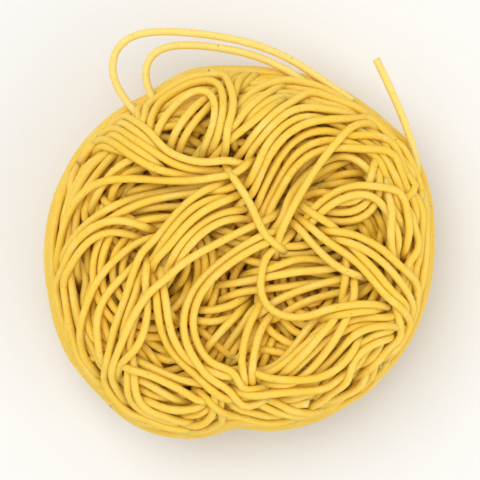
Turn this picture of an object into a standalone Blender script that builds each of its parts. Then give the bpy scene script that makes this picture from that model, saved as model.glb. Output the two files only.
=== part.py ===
"""A nest of dried vermicelli as one solid: a core with the strands that show fused onto it.

Sizes are millimetres and become metres where Blender objects are made. The nest lies flat,
its crown looks along +Z, and the loose loop at its edge points along +Y.
"""

import math
import random

import bmesh
import bpy
import numpy as np

MM = 0.001
SEED = 7

# Strands: thickness, spacing of their points and of those the next strand rests on, and sides
STRAND = 1.2
STEP = 1.5
REST_STEP = 0.6
CURVE_POINTS = 12
BEND_TOLERANCE = 0.2
SIDES = 5

# How a strand lies: above the core, over another one, its stiffness, and how deep its ends sink
PROUD = 0.2
CLIMB = 0.62
STIFF_PASSES = 14
TUCK = 1.2

# Surface: points nearer than this in metres are one, and bends below this angle are flat
WELD = 0.00001
MERGE = 0.000001
FLAT_DEGREES = 3.8
SHARP_DEGREES = 60.0
COLOUR = (0.83, 0.55, 0.13, 1.0)
ROUGHNESS = 0.55

# Body: its radius every 15 degrees from +X, anticlockwise
RADII = (
    30.8, 31.5, 31.7, 30.4, 29.8, 29.0, 28.5, 29.0, 27.8, 28.7, 29.3, 29.8,
    30.0, 30.1, 31.1, 31.1, 31.8, 30.5, 27.6, 29.0, 29.6, 30.2, 30.5, 30.7,
)
# Body: share of that radius and height, from the middle of the base to the middle of the crown
PROFILE = (
    (0.0, 0.0), (0.45, 0.0), (0.84, 0.0), (0.90, 1.2), (0.945, 3.6), (0.97, 7.0), (0.98, 10.5),
    (0.965, 14.0), (0.93, 17.3), (0.88, 19.8), (0.81, 21.8), (0.72, 23.2), (0.62, 23.7),
    (0.51, 23.4), (0.40, 22.8), (0.29, 22.2), (0.19, 21.8), (0.09, 21.5), (0.0, 21.4),
)
WIDEST = 6
FLANK = PROFILE[2:WIDEST + 6]
MEAN_RADIUS = 30.0
CORE_SEGMENTS = 36

# Gaps between the crown's strands: x, y, radius, depth
GAP_ROUNDING = 0.7
GAPS = (
    (-2.6, -8.6, 5.0, 2.8), (11.0, -2.0, 3.4, 2.0), (12.0, -7.0, 3.8, 3.0), (7.3, -13.0, 3.2, 4.0),
    (19.5, -6.0, 3.0, 3.4), (17.0, -14.0, 3.4, 3.6), (9.5, 11.5, 2.6, 3.5), (16.8, 12.2, 3.4, 4.5),
    (13.6, 17.4, 3.0, 2.0), (20.8, 3.4, 3.2, 4.8), (-8.0, 16.4, 4.0, 2.0), (-19.5, -0.5, 3.2, 2.0),
    (-6.0, -3.2, 2.0, 2.5), (-10.4, -10.6, 2.8, 3.8), (-9.8, -19.2, 3.8, 3.8), (-13.5, -18.5, 2.6, 2.5),
)

# Crown bundles: strands side by side, pitch between them, points that the first one runs through
BUNDLES = (
    (2, 2.0, ((-19, 3.5), (-24, 0), (-25.8, -7), (-24.5, -15), (-19.5, -23.5), (-12, -27))),
    (2, -2.6, ((1, 21.5), (9, 26), (16, 23.9), (23, 18.7), (28, 9.5))),
    (1, 0.0, ((17, 16.3), (23, 14.6), (28, 9), (29.2, 0), (27.6, -9), (23.6, -18))),
    (1, 0.0, ((-3, -27), (6, -26), (15, -23.6), (22, -18.6), (26, -12))),
    (1, 0.0, ((-28.2, 5), (-28.4, -3), (-26.6, -11), (-22, -19.6), (-15, -26))),
    (2, 2.1, ((-14.5, 18.7), (-12, 23.5), (-6.5, 27.2), (-1.8, 25.5), (-1.2, 20))),
    (1, 0.0, ((-24.5, 13), (-20, 16.3), (-15.5, 14.5), (-9, 11.5))),
    (2, 1.9, ((-17, -22.5), (-12, -24.8), (-6, -23.8), (-3.5, -21))),
    (2, 2.2, ((2.5, -20), (7, -16.5), (11, -12), (17, -9.8), (22, -9.5))),
    (1, 0.0, ((14, -22), (16, -17.8), (20, -13.8), (22.6, -12.4))),
    (1, 0.0, ((0, -20.3), (6, -19.7), (13, -19.5), (18, -16.5))),
    (2, 2.0, ((0.3, -21.5), (2, -25), (6, -27.8))),
    (1, 0.0, ((10.5, 5.5), (14, 8.8), (20, 10), (24, 7.4), (26, 2.5))),
    (1, 0.0, ((9.5, 6), (15, 4.9), (18.6, 5.2), (21.3, 7.6))),
    (1, 0.0, ((-5.2, 14.6), (-1, 19), (5, 23.5))),
    (1, 0.0, ((-10, 14.4), (-8, 19.5), (-3.4, 24))),
    (2, 1.9, ((-1.5, 11.3), (-8, 10.3), (-16, 10.7), (-23, 8.8), (-26.6, 2.5))),
    (1, 0.0, ((-3, 9.6), (-12, 8.8), (-20, 6.2), (-24.4, 1.5))),
    (1, 0.0, ((-11, 3.5), (-19, -2.2), (-22.5, -7.5), (-23.2, -12))),
    (3, 2.0, ((1.5, 8), (-7, 6), (-13.5, -1), (-17.6, -10), (-18.6, -17), (-13, -25.6))),
    (2, 1.9, ((3.5, 3.6), (-6, -0.3), (-12.5, -5), (-16, -11), (-16.6, -16))),
    (1, 0.0, ((-12.3, -6.5), (-11.8, -12), (-8, -17.5), (-3, -20.3))),
    (2, 1.8, ((6, 0.9), (0, 0), (-5.5, -4.3), (-8.3, -11.5), (-4.6, -18.3), (3, -21.6))),
    (1, 0.0, ((0.3, 11), (1.8, 15.5), (5, 20))),
    (1, 0.0, ((3, 7.5), (4.7, 13), (6.6, 18))),
    (1, 0.0, ((4.8, 5.5), (8.5, 13), (12.5, 19))),
    (1, 0.0, ((6.3, 2), (10, 10), (15.5, 17), (20.5, 18.4), (25, 14.6))),
    (1, 0.0, ((8.8, 5), (14, 1.8), (20, -3.7), (24, -10.5), (22.6, -18))),
    (1, 0.0, ((13, 2.6), (20, 0), (25, -5.2), (26.2, -11.5), (24.6, -16.6))),
    (1, 0.0, ((5.8, 0.6), (3.6, -4), (4.6, -9.4), (9, -11), (15, -8.6), (22, -7.6))),
    (1, 0.0, ((2.9, -9), (1.9, -14), (1.2, -19.5))),
    (1, 0.0, ((-20.3, 19.6), (-14.5, 16), (-9, 12.4), (-1.5, 11.6))),
    (1, 0.0, ((-1.8, 12.4), (1, 9), (3, 4.5), (6.5, 0.4))),
)

# Windings round the flank: number, height of the lowest and of the highest, how far one sways,
# rises and turns, the least height of its middle, and how deep its ends sink
WINDINGS = 9
WINDING_LOW = 2.4
WINDING_HIGH = 20.4
WINDING_SWAY = 1.0
WINDING_WAVES = 2.3
WINDING_SLOPE = 3.0
WINDING_STEP = 5.6
WINDING_SWEEP = (200.0, 330.0)
WINDING_LEAST = 1.2
WINDING_TUCK = 1.1

# Loose strands, as x, y and height: the two of the free loop, and the stray at the right
LOOSE = (
    ((-14.8, 20, 17.3), (-17.4, 23.2, 17.5), (-19.6, 26.8, 17.6), (-18.6, 32, 17.0), (-13.5, 33.6, 16.6),
     (-4, 33, 16.5), (4, 31.2, 16.9), (10.5, 28, 17.4), (17.5, 22, 17.6)),
    ((-12.0, 20.8, 18.0), (-14.5, 26.2, 18.0), (-13.8, 30.6, 17.6), (-8.5, 31.6, 17.2), (0, 30.6, 17.1),
     (6, 28.6, 17.5), (13.4, 23.4, 17.9)),
    ((21.4, 29.3, 15.4), (24.2, 23.4, 16.0), (27, 16, 16.6), (27.4, 7.5, 16.2)),
)


def clear_scene():
    """Take away whatever the file opened with."""
    for item in list(bpy.data.objects):
        bpy.data.objects.remove(item, do_unlink=True)


def radius_towards(angle):
    """Radius of the body in a direction, rounded smoothly between the listed ones."""
    place = math.degrees(angle) % 360 / (360 / len(RADII))
    first = int(place)
    share = (1 - math.cos(math.pi * (place - first))) / 2
    near = RADII[first % len(RADII)]
    far = RADII[(first + 1) % len(RADII)]
    return near + (far - near) * share


def gap_depth(x, y):
    """How far the gaps sink the crown here."""
    deepest = 0.0
    for at_x, at_y, reach, depth in GAPS:
        share = math.hypot(x - at_x, y - at_y) / reach
        if share < 1:
            deepest = max(deepest, depth * (1 - share * share) ** GAP_ROUNDING)
    return deepest


def crown_height(x, y):
    """Height of the core's upper side, carried on level beyond its edge."""
    share = math.hypot(x, y) / radius_towards(math.atan2(y, x))
    outer = PROFILE[WIDEST:]
    shares = [station[0] for station in reversed(outer)]
    heights = [station[1] for station in reversed(outer)]
    return float(np.interp(share, shares, heights)) - gap_depth(x, y)


def flank_share(height):
    """Share of the body's radius that the flank reaches at a height."""
    return float(np.interp(height, [station[1] for station in FLANK], [station[0] for station in FLANK]))


def smooth_line(points, step):
    """A curve through the points, cut into equal steps."""
    points = [np.array(point, float) for point in points]
    padded = [2 * points[0] - points[1], *points, 2 * points[-1] - points[-2]]
    fine = []
    for index in range(1, len(padded) - 2):
        before, start, end, after = padded[index - 1:index + 3]
        for share in np.linspace(0, 1, CURVE_POINTS, endpoint=False):
            fine.append(
                0.5 * (
                    2 * start + (end - before) * share
                    + (2 * before - 5 * start + 4 * end - after) * share ** 2
                    + (3 * start - before - 3 * end + after) * share ** 3
                )
            )
    fine.append(points[-1])
    fine = np.array(fine)
    run = np.concatenate([[0], np.cumsum(np.linalg.norm(np.diff(fine, axis=0), axis=1))])
    count = max(3, round(run[-1] / step))
    wanted = np.linspace(0, run[-1], count + 1)
    return np.column_stack([np.interp(wanted, run, fine[:, axis]) for axis in range(fine.shape[1])])


def beside(line, distance):
    """The same route, shifted sideways."""
    along = np.gradient(line[:, :2], axis=0)
    along /= np.linalg.norm(along, axis=1)[:, None]
    moved = line.copy()
    moved[:, 0] -= along[:, 1] * distance
    moved[:, 1] += along[:, 0] * distance
    return moved


def thin_out(line, tolerance):
    """Leave out the points that a straight piece between its neighbours nearly meets."""
    if len(line) < 3:
        return line
    start = line[0]
    along = line[-1] - start
    along = along / np.linalg.norm(along)
    offset = line - start
    away = np.linalg.norm(offset - np.outer(offset @ along, along), axis=1)
    furthest = int(away.argmax())
    if away[furthest] < tolerance:
        return np.array([line[0], line[-1]])
    first = thin_out(line[:furthest + 1], tolerance)
    second = thin_out(line[furthest:], tolerance)
    return np.vstack([first[:-1], second])


class Pile:
    """Remembers how high the strands laid so far reach, so that the next one lies over them."""

    def __init__(self):
        self.laid = []

    def lay(self, route):
        """Give a route its heights: it rests on what is below, and is too stiff to dip far."""
        rest = np.array([crown_height(x, y) + PROUD for x, y in route])
        for strand in self.laid:
            for index, (x, y) in enumerate(route):
                apart = np.hypot(strand[:, 0] - x, strand[:, 1] - y)
                near = apart < STRAND
                if near.any():
                    over = strand[near, 2] + CLIMB * np.sqrt(STRAND ** 2 - apart[near] ** 2)
                    rest[index] = max(rest[index], over.max())
        height = rest.copy()
        for _ in range(STIFF_PASSES):
            padded = np.concatenate([height[:1], height, height[-1:]])
            height = np.maximum(rest, (padded[:-2] + height + padded[2:]) / 3)
        strand = np.column_stack([route, height])
        # A copy with close points lets the next strand find it between its own points
        self.laid.append(smooth_line(strand, REST_STEP))
        return strand


def tuck_ends(strand):
    """Sink both ends into the core, and any that reach past its edge inwards too."""
    strand = strand.copy()
    for end in (0, -1):
        strand[end, 2] -= TUCK
        x, y = strand[end, :2]
        share = math.hypot(x, y) / radius_towards(math.atan2(y, x))
        allowed = flank_share(strand[end, 2]) - TUCK / MEAN_RADIUS
        if share > allowed:
            strand[end, :2] *= allowed / share
    return strand


def make_section():
    """The strand's section: a polygon of few sides with a true circle's area."""
    curve = bpy.data.curves.new("section", "CURVE")
    curve.dimensions = "2D"
    spline = curve.splines.new("POLY")
    spline.points.add(SIDES - 1)
    turn = 2 * math.pi / SIDES
    reach = STRAND / 2 * math.sqrt(turn / math.sin(turn)) * MM
    for index, point in enumerate(spline.points):
        point.co = (reach * math.cos(index * turn), reach * math.sin(index * turn), 0.0, 1.0)
    spline.use_cyclic_u = True
    section = bpy.data.objects.new("section", curve)
    bpy.context.scene.collection.objects.link(section)
    return section


def strand_object(name, points, section, collection):
    """A strand as a capped tube of few sides."""
    points = thin_out(points, BEND_TOLERANCE)
    curve = bpy.data.curves.new(name, "CURVE")
    curve.dimensions = "3D"
    curve.bevel_mode = "OBJECT"
    curve.bevel_object = section
    curve.use_fill_caps = True
    spline = curve.splines.new("POLY")
    spline.points.add(len(points) - 1)
    for point, place in zip(spline.points, points):
        point.co = (place[0] * MM, place[1] * MM, place[2] * MM, 1.0)
    source = bpy.data.objects.new(name + "_curve", curve)
    bpy.context.scene.collection.objects.link(source)
    bpy.context.view_layer.update()
    graph = bpy.context.evaluated_depsgraph_get()
    mesh = bpy.data.meshes.new_from_object(source.evaluated_get(graph))
    bpy.data.objects.remove(source, do_unlink=True)
    weld(mesh)
    made = bpy.data.objects.new(name, mesh)
    collection.objects.link(made)
    return made


def weld(mesh):
    """Join the points that lie together and turn every face outwards."""
    shape = bmesh.new()
    shape.from_mesh(mesh)
    bmesh.ops.remove_doubles(shape, verts=shape.verts, dist=WELD)
    bmesh.ops.recalc_face_normals(shape, faces=shape.faces)
    shape.to_mesh(mesh)
    shape.free()


def make_core(name, collection):
    """The core: a sphere whose rings are moved onto the body's profile and outline."""
    shape = bmesh.new()
    bmesh.ops.create_uvsphere(shape, u_segments=CORE_SEGMENTS, v_segments=len(PROFILE) - 1, radius=1.0)
    for vertex in shape.verts:
        polar = math.acos(max(-1.0, min(1.0, -vertex.co.z)))
        station = round(polar / math.pi * (len(PROFILE) - 1))
        share, height = PROFILE[station]
        angle = math.atan2(vertex.co.y, vertex.co.x)
        reach = share * radius_towards(angle)
        x = reach * math.cos(angle)
        y = reach * math.sin(angle)
        if station > WIDEST:
            height -= gap_depth(x, y)
        vertex.co = (x * MM, y * MM, height * MM)
    bmesh.ops.recalc_face_normals(shape, faces=shape.faces)
    mesh = bpy.data.meshes.new(name)
    shape.to_mesh(mesh)
    shape.free()
    made = bpy.data.objects.new(name, mesh)
    collection.objects.link(made)
    return made


def winding(height, start, sweep, rng):
    """A strand that runs round the flank, with a slow sway."""
    phase = rng.uniform(0, 2 * math.pi)
    slope = rng.uniform(-WINDING_SLOPE, WINDING_SLOPE)
    length = math.radians(sweep) * MEAN_RADIUS
    points = []
    for share in np.linspace(0, 1, round(length / WINDING_STEP) + 1):
        angle = math.radians(start + sweep * share)
        level = height + slope * (share - 0.5) + WINDING_SWAY * math.sin(WINDING_WAVES * angle + phase)
        level = max(level, WINDING_LEAST)
        sunk = WINDING_TUCK if share in (0.0, 1.0) else 0.0
        reach = flank_share(level) * radius_towards(angle) + PROUD - sunk
        points.append((reach * math.cos(angle), reach * math.sin(angle), level))
    return np.array(points)


def keep_outer_body(made):
    """Keep the one largest closed surface: sealed hollows become solid and loose scraps go."""
    shape = bmesh.new()
    shape.from_mesh(made.data)
    bmesh.ops.triangulate(shape, faces=shape.faces)
    left = set(shape.faces)
    groups = []
    while left:
        group = {left.pop()}
        front = list(group)
        while front:
            for edge in front.pop().edges:
                for other in edge.link_faces:
                    if len(edge.link_faces) == 2 and other in left:
                        left.discard(other)
                        group.add(other)
                        front.append(other)
        groups.append(group)
    body = max(groups, key=len)
    loose = [face for face in shape.faces if face not in body]
    bmesh.ops.delete(shape, geom=loose, context="FACES")
    bmesh.ops.remove_doubles(shape, verts=shape.verts, dist=MERGE)
    bmesh.ops.dissolve_limit(
        shape, angle_limit=math.radians(FLAT_DEGREES), verts=shape.verts, edges=shape.edges
    )
    bmesh.ops.triangulate(shape, faces=shape.faces)
    shape.to_mesh(made.data)
    shape.free()


def main():
    clear_scene()
    rng = random.Random(SEED)
    part = bpy.data.collections.new("nest_of_vermicelli")
    bpy.context.scene.collection.children.link(part)
    nest = make_core("vermicelli_nest", part)
    strands = bpy.data.collections.new("strands")
    bpy.context.scene.collection.children.link(strands)
    section = make_section()

    for index in range(WINDINGS):
        height = WINDING_LOW + (WINDING_HIGH - WINDING_LOW) * index / (WINDINGS - 1)
        sweep = rng.uniform(*WINDING_SWEEP)
        line = winding(height, rng.uniform(0, 360), sweep, rng)
        strand_object("winding", line, section, strands)

    pile = Pile()
    for count, pitch, points in BUNDLES:
        first = smooth_line(points, STEP)
        for index in range(count):
            route = beside(first, index * pitch)
            strand_object("crown", tuck_ends(pile.lay(route)), section, strands)

    for points in LOOSE:
        strand_object("loose", smooth_line(points, STEP), section, strands)
    bpy.data.objects.remove(section, do_unlink=True)

    join = nest.modifiers.new("join", "BOOLEAN")
    join.operation = "UNION"
    join.operand_type = "COLLECTION"
    join.collection = strands
    join.solver = "EXACT"
    bpy.context.view_layer.update()
    graph = bpy.context.evaluated_depsgraph_get()
    joined = bpy.data.meshes.new_from_object(nest.evaluated_get(graph))
    nest.modifiers.clear()
    nest.data = joined
    for item in list(strands.objects):
        bpy.data.objects.remove(item, do_unlink=True)
    bpy.data.collections.remove(strands)
    keep_outer_body(nest)

    pasta = bpy.data.materials.new("dried_vermicelli")
    pasta.use_nodes = True
    shader = pasta.node_tree.nodes["Principled BSDF"]
    shader.inputs["Base Color"].default_value = COLOUR
    shader.inputs["Roughness"].default_value = ROUGHNESS
    nest.data.materials.clear()
    nest.data.materials.append(pasta)
    nest.data.shade_smooth()
    nest.data.set_sharp_from_angle(angle=math.radians(SHARP_DEGREES))
    print("triangles", len(nest.data.polygons))


main()
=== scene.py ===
import itertools
import math
import random

import bpy
import numpy as np
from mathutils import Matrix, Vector


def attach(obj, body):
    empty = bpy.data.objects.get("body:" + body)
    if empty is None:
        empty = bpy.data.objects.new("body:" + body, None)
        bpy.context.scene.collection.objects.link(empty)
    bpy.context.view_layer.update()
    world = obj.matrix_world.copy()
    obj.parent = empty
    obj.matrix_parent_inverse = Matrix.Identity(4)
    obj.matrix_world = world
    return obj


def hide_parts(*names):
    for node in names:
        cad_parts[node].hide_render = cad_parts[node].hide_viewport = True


bl_info = {
    "name": "Nest of dried vermicelli",
    "version": (1, 0, 0),
    "blender": (4, 5, 0),
    "location": "View3D > Sidebar > Nest",
    "description": "Winds a nest of dried vermicelli strand by strand, with its table and light",
    "category": "Object",
}

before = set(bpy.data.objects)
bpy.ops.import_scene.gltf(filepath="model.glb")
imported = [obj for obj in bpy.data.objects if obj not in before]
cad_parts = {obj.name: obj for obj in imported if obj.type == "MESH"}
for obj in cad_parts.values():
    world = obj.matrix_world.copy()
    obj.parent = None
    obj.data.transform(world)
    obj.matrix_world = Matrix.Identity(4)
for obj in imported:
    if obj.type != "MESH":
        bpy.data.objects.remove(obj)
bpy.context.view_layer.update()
NODE = "vermicelli_nest"
BODY = "root"
MM = 0.001

# Body of the nest, in millimetres: its radius every 15 degrees from +X, anticlockwise
RADII = np.array((
    30.8, 31.5, 31.7, 30.4, 29.8, 29.0, 28.5, 29.0, 27.8, 28.7, 29.3, 29.8,
    30.0, 30.1, 31.1, 31.1, 31.8, 30.5, 27.6, 29.0, 29.6, 30.2, 30.5, 30.7,
))
# Flank: share of that radius that it reaches at each height
FLANK = ((0.84, 0.0), (0.90, 1.2), (0.945, 3.6), (0.97, 7.0), (0.98, 10.5), (0.965, 14.0),
         (0.93, 17.3), (0.88, 19.8), (0.81, 21.8), (0.72, 23.2))
# Crown: height at each share of the radius, from the middle outwards
CROWN = ((0.0, 21.4), (0.09, 21.5), (0.19, 21.8), (0.29, 22.2), (0.40, 22.8), (0.51, 23.4), (0.62, 23.7),
         (0.72, 23.2), (0.81, 21.8), (0.88, 19.8), (0.93, 17.3), (0.965, 14.0), (0.98, 10.5))
# Lid that keeps the finished pile down: height of the topmost centres at each share of the radius
LID = ((0.0, 0.3, 0.6, 0.75, 0.85, 0.93, 1.0), (24.8, 25.2, 25.4, 24.1, 21.9, 18.5, 15.5))
MEAN_RADIUS = 30
# Step between the points of a route
ROUTE_STEP = 1.0
# How far the outer windings' centres lie outside the flank, and the height above which the flank
# is taken as upright
WALL_PROUD = 0.25
WALL_SHOULDER = 17.3
# Shares of the radius within which the filling's routes, its bundles' middles and the crown's routes keep
FILL_REACH = 0.9
SPOT_REACH = 0.86
CROWN_REACH = 0.955

# Windings: height that the turns are counted over, height of the last one, points in a turn, share of
# the turns that an inner layer has, points in a strand, and the fewest worth keeping
WALL_HEIGHT = 21.0
WALL_LAST = 20.6
TURN_POINTS = 190
INNER_TURNS = 0.92
WALL_STRAND_POINTS = (300, 470)
FEWEST_POINTS = 60
# Sway of the windings: its size, its waves in a turn, and how it turns with height
SWAY = ((0.9, 2, 0.25), (0.6, 3, -0.4))

# Filling: misses that end it, misses after which short strands go into single holes, and routes tried
# for each bundle; the least gain and the price of standing proud, for bundles and for short strands
MOST_MISSES = 140
PATCH_AFTER = 40
TRIES = 14
LEAST_GAIN = (0.4, 1.2)
PROUD_PRICE = (3.0, 0.25)
# Lengths each way of a bundle's bridge and of a short strand, and points below which a route is short
BRIDGE = (6.0, 22.0)
SHORT_BRIDGE = (3.0, 7.0)
SHORT_ROUTE = 60
# How stiffly a route that is tried, a strand that is laid and a short strand bridge what is below them
STIFF_TRIED = 25
STIFF_LAID = 30
STIFF_SHORT = 4
STIFF_CROWN = 20
# What a try may stand proud for nothing, the most that counts as gain, and a given-up hole's reach
PROUD_FREE = 0.4
MOST_GAIN = 6
HOLE_REACH = 1.5
# Filling's surface: how far it stays below the crown, by itself and in diameters for each crown strand
BARE_SINK = 0.4
LAYER_SINK = 0.7
# Ends of the filling's strands: how deep they are led down, over how many points, and how sharply
TAIL_SINK = 1.8
TAIL_POINTS = 5
TAIL_CURVE = 1.5

# Crown: how deep the ends run down beyond a route, and how sharply
DIVE = 3.6
DIVE_CURVE = 1.4
# Carrying a route on past its end: how far at most, how much less for the last bundle, how far for a
# route of no length and more for each point of it, and the most it turns at a point, in radians
LEAD = 8.0
LEAD_LESS = 5.5
LEAD_BASE = 1.5
LEAD_SHARE = 0.5
MOST_BEND = 0.09
# Joints of the windings: how far each end is drawn out, in diameters
JOINT_REACH = 0.45

# Waver of a strand: its waves' lengths and sizes as shares of the longest, and their common scale
WAVE_PARTS = (1.0, 0.55, 0.31)
WAVE_SCALE = math.sin(1)

# Settling: step between points, points apart on one strand that count as touching, how far apart
# points are that can touch soon, strength of a push, how it calms with many touches, how it spreads,
# how much loose strands give way, how firmly crown strands keep their place, how stiff a strand is,
# how hard the lid presses, and how hard the flank does beyond its slack
SETTLE_STEP = 0.8
NEIGHBOURS = 5
NEAR = 1.35
PUSH = 1.1
PUSH_CALMING = 0.6
PUSH_SPREAD = 2.6
LOOSE_GIVE = 0.25
CROWN_TIE = 0.05
STIFFNESS = 0.12
LID_PRESS = 0.3
FLANK_PRESS = 0.4
FLANK_SLACK = 0.008
# Ends inside the wall: how deep they are led down, over what length
END_SINK = 2.2
END_LENGTH = 6

# Narrow pits of the crown: how deep one may be, how far down short strands lie in it, how many there
# may be, how many are tried for each, what lying deeper costs, and how wide one strand closes a pit
PIT_DEPTH = 2.8
PIT_STRAND_DEPTHS = (2.2, 4.4)
PIT_BRIDGE = (3.5, 6.5)
MOST_PIT_STRANDS = 110
PIT_TRIES = 60
DEPTH_PRICE = 0.06
PIT_CLOSED = 0.7

# Gaps between the crown's strands: how round they are, and for each its x, y, radius and depth
GAP_ROUNDING = 0.7
GAPS = (
    (-1.0, -6.5, 4.6, 7.0), (11.0, -2.0, 3.6, 4.0), (12.0, -7.0, 3.8, 5.0), (19.5, -6.0, 3.0, 4.0),
    (17.5, -13.5, 3.4, 4.0), (9.5, -21.6, 2.8, 4.0), (14.0, 11.2, 3.0, 4.5), (20.8, 3.4, 3.0, 4.5),
    (-8.5, 15.8, 3.6, 2.5), (-21.5, -1.0, 3.0, 3.0), (-19.8, -10.0, 2.8, 3.0), (-6.0, -3.2, 2.0, 3.0),
    (-14.0, -19.0, 3.0, 3.0),
)

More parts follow.
